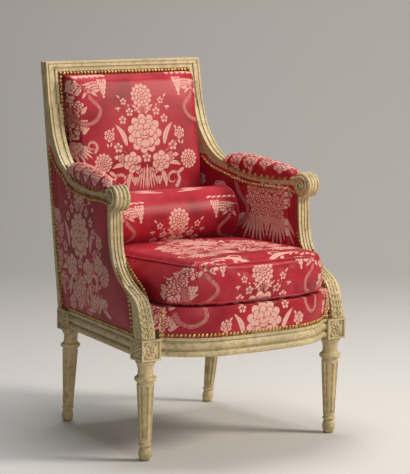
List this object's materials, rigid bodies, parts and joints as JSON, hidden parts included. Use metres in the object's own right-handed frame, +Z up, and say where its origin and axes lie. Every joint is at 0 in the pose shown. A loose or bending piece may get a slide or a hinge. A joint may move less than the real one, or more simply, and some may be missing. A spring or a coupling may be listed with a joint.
{
  "type": "bergere armchair",
  "caption": "Upholstered closed-arm easy chair with a moulded wooden frame, turned fluted legs, scrolled padded arms, a loose seat cushion and a loose bolster.",
  "frame": {"origin": "on the floor, under the middle of the whole chair", "axes": "+Z up, -Y towards the front of the chair, +X to the right of a person who looks at its front; X = 0 is its plane of symmetry"},
  "size_m": [0.6412, 0.7052, 0.97],
  "materials": {
    "painted_wood": "worn cream paint over carved beech",
    "plain_wood": "bare sawn beech",
    "figured_silk": "crimson satin with a pale woven floral figure",
    "plain_silk": "plain crimson cloth",
    "webbing": "jute webbing",
    "stuffing": "hair and wadding in calico"
  },
  "bodies": {
    "frame": {"right_front_leg": "painted_wood", "left_front_leg": "painted_wood", "right_rear_post": "painted_wood", "left_rear_post": "painted_wood", "front_seat_rail": "painted_wood", "right_seat_rail": "painted_wood", "left_seat_rail": "painted_wood", "rear_seat_rail": "painted_wood", "crest_rail": "painted_wood", "lower_back_rail": "painted_wood", "right_arm": "painted_wood", "left_arm": "painted_wood", "right_arm_support": "painted_wood", "left_arm_support": "painted_wood", "corner_blocks": "plain_wood", "seat_webbing": "webbing", "back_webbing": "webbing", "right_side_webbing": "webbing", "left_side_webbing": "webbing", "seat_stuffing": "stuffing", "back_stuffing": "stuffing", "right_side_stuffing": "stuffing", "left_side_stuffing": "stuffing", "seat_platform_cover": "figured_silk", "inside_back_cover": "figured_silk", "outside_back_cover": "plain_silk", "right_inside_arm_cover": "figured_silk", "left_inside_arm_cover": "figured_silk", "right_outside_arm_cover": "figured_silk", "left_outside_arm_cover": "figured_silk", "right_arm_pad": "figured_silk", "left_arm_pad": "figured_silk"},
    "seat_cushion": {"seat_cushion_cover": "figured_silk", "seat_cushion_filling": "stuffing"},
    "bolster": {"bolster_cover": "figured_silk", "bolster_filling": "stuffing"}
  },
  "joints": [
    {"name": "cushion_lift", "type": "slide", "parent": "frame", "child": "seat_cushion", "axis": [0, 0, 1], "range_m": [0, 0.62]},
    {"name": "bolster_lift", "type": "slide", "parent": "seat_cushion", "child": "bolster", "axis": [0, 0, 1], "range_m": [0, 0.5]}
  ]
}
